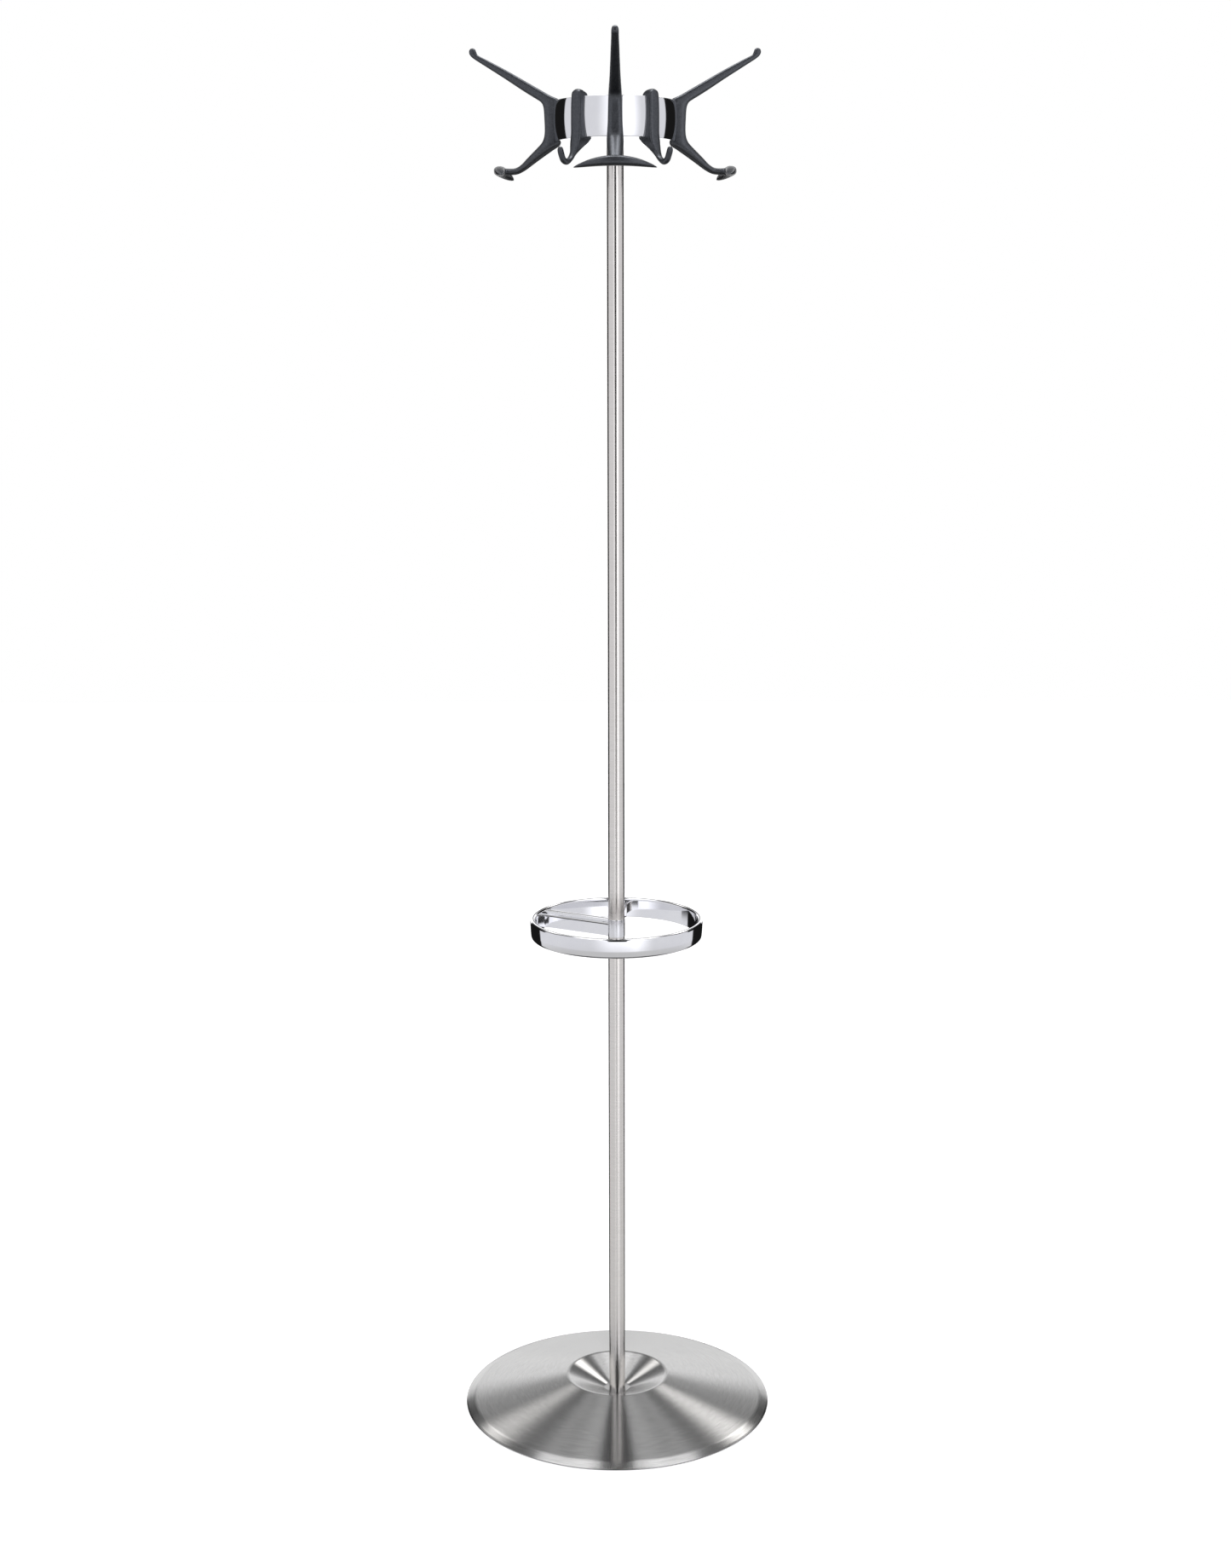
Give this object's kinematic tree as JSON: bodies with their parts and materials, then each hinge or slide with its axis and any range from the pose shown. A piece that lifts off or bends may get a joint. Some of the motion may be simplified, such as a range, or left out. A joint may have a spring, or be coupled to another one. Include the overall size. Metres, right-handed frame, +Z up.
{
  "type": "standing coat rack",
  "caption": "Free-standing coat rack: weighted round base, slim tube with umbrella ring, and a drum head carrying branched and J-shaped hooks.",
  "frame": {"origin": "centre of the footprint, on the floor", "axes": "+Z up along the tube, -Y the front where the middle hook points, +X to the right seen from the front"},
  "size_m": [0.4, 0.4, 1.7175],
  "materials": {
    "spun_steel": "circular satin brushed stainless sheet",
    "cast_iron_paint": "rough casting, painted dark",
    "black_rubber": "matt moulded rubber",
    "zinc_steel": "zinc-plated steel",
    "satin_tube": "satin stainless tube, brushed along its length",
    "bright_chrome": "polished chrome plate",
    "cast_aluminium": "raw die casting",
    "graphite_lacquer": "satin graphite lacquer on a die casting"
  },
  "bodies": {
    "root": {"base_cover": "spun_steel", "base_weight": "cast_iron_paint", "base_rubber_ring": "black_rubber", "base_washer": "zinc_steel", "base_bolt": "zinc_steel", "lower_tube": "satin_tube", "foot_insert": "zinc_steel", "lower_joint_insert": "zinc_steel", "joining_stud": "zinc_steel", "umbrella_ring": "bright_chrome", "upper_joint_insert": "zinc_steel", "upper_tube": "satin_tube", "head_insert": "zinc_steel", "head_core": "cast_aluminium", "head_washer": "zinc_steel", "head_bolt": "zinc_steel", "drum_shell": "bright_chrome", "drum_bottom_plate": "bright_chrome", "drum_plate_screws": "zinc_steel", "drum_lid": "bright_chrome", "hook_screws": "zinc_steel", "front_hook": "graphite_lacquer", "left_hook": "graphite_lacquer", "right_hook": "graphite_lacquer", "small_left_hook": "graphite_lacquer", "small_right_hook": "graphite_lacquer"}
  },
  "joints": []
}
